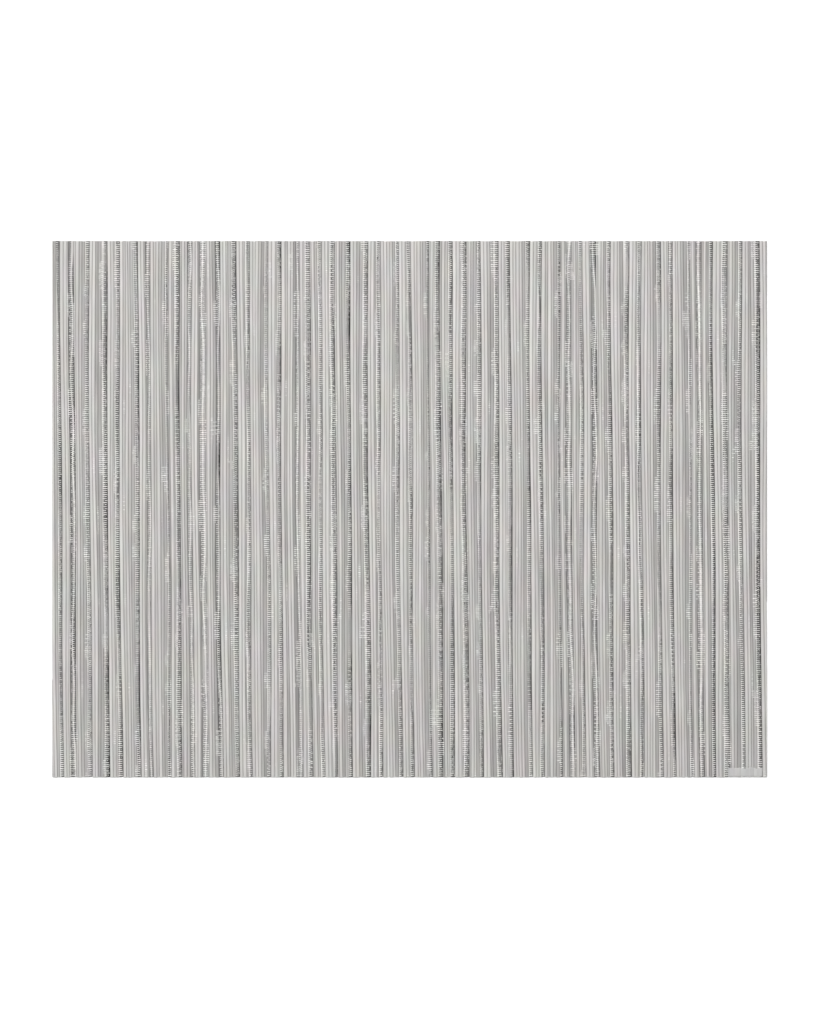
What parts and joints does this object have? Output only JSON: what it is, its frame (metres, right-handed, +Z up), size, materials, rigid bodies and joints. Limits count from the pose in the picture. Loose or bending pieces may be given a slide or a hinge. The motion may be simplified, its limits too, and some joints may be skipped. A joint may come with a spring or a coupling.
{
  "type": "placemat",
  "caption": "Rectangular rib-woven placemat in mixed pale and mid greys: one flat sheet of cloth with ridged cords, flat tapes, laddered and sunk strands, and plain cut edges.",
  "frame": {"origin": "middle of the flat underside, where the mat lies on the table", "axes": "+X along the long side, +Y along the strands towards the far edge, +Z up out of the ribbed face"},
  "size_m": [0.48, 0.36, 0.002],
  "materials": {
    "woven_cloth": "coated yarn in mixed pale and mid greys, ribbed weave, soft satin sheen"
  },
  "bodies": {
    "root": {"mat": "woven_cloth"}
  },
  "joints": []
}
